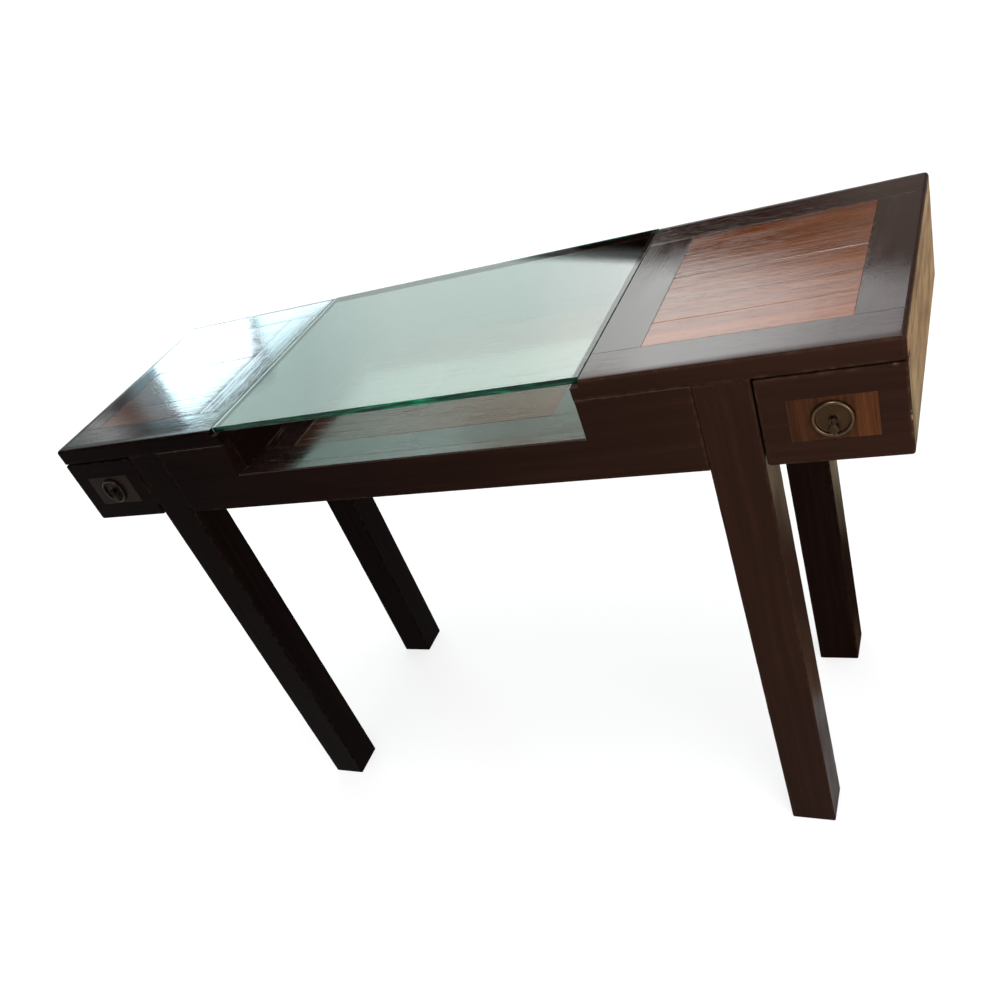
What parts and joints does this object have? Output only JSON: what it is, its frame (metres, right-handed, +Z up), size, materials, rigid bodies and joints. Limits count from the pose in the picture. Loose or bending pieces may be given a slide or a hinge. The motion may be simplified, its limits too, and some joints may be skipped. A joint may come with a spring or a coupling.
{
  "type": "display table",
  "caption": "Dark wood console table with inlaid end tops, a drawer under each end, and between them a dropped display deck, open at the front, under a loose glass sheet.",
  "frame": {"origin": "on the floor, at the middle of the carcase", "axes": "+X to the right along the table, +Y to the back, +Z up"},
  "size_m": [1.2, 0.3978, 0.762],
  "materials": {
    "dark_wood": "dark stained hardwood under gloss lacquer",
    "plank_wood": "reddish hardwood planks under gloss lacquer",
    "inlay_wood": "lighter upright-grained strips under satin lacquer",
    "drawer_wood": "plain unstained hardwood",
    "brass": "antique brass, darkened in the dish",
    "glass": "clear float glass with green ground edges"
  },
  "bodies": {
    "frame": {"leg_front_left": "dark_wood", "leg_front_right": "dark_wood", "leg_back_left": "dark_wood", "leg_back_right": "dark_wood", "front_apron": "dark_wood", "back_apron": "dark_wood", "corner_blocks": "drawer_wood", "side_rail_left": "dark_wood", "recess_wall_left": "dark_wood", "side_rail_right": "dark_wood", "recess_wall_right": "dark_wood", "deck_front_rail": "dark_wood", "deck_back_rail": "dark_wood", "deck_left_stile": "dark_wood", "deck_right_stile": "dark_wood", "deck_planks": "plank_wood", "deck_bearers": "drawer_wood", "left_top_front_rail": "dark_wood", "left_top_back_rail": "dark_wood", "left_top_inner_stile": "dark_wood", "left_top_outer_stile": "dark_wood", "left_top_planks": "plank_wood", "end_panel_left": "dark_wood", "case_back_left": "dark_wood", "drawer_runners_left": "drawer_wood", "right_top_front_rail": "dark_wood", "right_top_back_rail": "dark_wood", "right_top_inner_stile": "dark_wood", "right_top_outer_stile": "dark_wood", "right_top_planks": "plank_wood", "end_panel_right": "dark_wood", "case_back_right": "dark_wood", "drawer_runners_right": "drawer_wood"},
    "glass": {"glass_top": "glass"},
    "drawer_left": {"drawer_front_left": "dark_wood", "drawer_inlay_left": "inlay_wood", "drawer_inner_side_left": "drawer_wood", "drawer_outer_side_left": "drawer_wood", "drawer_back_left": "drawer_wood", "drawer_bottom_left": "drawer_wood", "pull_plate_left": "brass", "pull_post_left": "brass", "pull_nut_left": "brass"},
    "drawer_right": {"drawer_front_right": "dark_wood", "drawer_inlay_right": "inlay_wood", "drawer_inner_side_right": "drawer_wood", "drawer_outer_side_right": "drawer_wood", "drawer_back_right": "drawer_wood", "drawer_bottom_right": "drawer_wood", "pull_plate_right": "brass", "pull_post_right": "brass", "pull_nut_right": "brass"},
    "pull_left": {"pull_drop_left": "brass"},
    "pull_right": {"pull_drop_right": "brass"}
  },
  "joints": [
    {"name": "drawer_left_slide", "type": "slide", "parent": "frame", "child": "drawer_left", "axis": [0, -1, 0], "range_m": [0, 0.25]},
    {"name": "pull_left_swing", "type": "hinge", "parent": "drawer_left", "child": "pull_left", "pos_m": [-0.5285, -0.1999, 0.68325], "axis": [-1, 0, 0], "range_deg": [0, 100]},
    {"name": "drawer_right_slide", "type": "slide", "parent": "frame", "child": "drawer_right", "axis": [0, -1, 0], "range_m": [0, 0.25]},
    {"name": "pull_right_swing", "type": "hinge", "parent": "drawer_right", "child": "pull_right", "pos_m": [0.5285, -0.1999, 0.68325], "axis": [-1, 0, 0], "range_deg": [0, 100]},
    {"name": "glass_lift", "type": "slide", "parent": "frame", "child": "glass", "axis": [0, 0, 1], "range_m": [0, 0.15]}
  ]
}
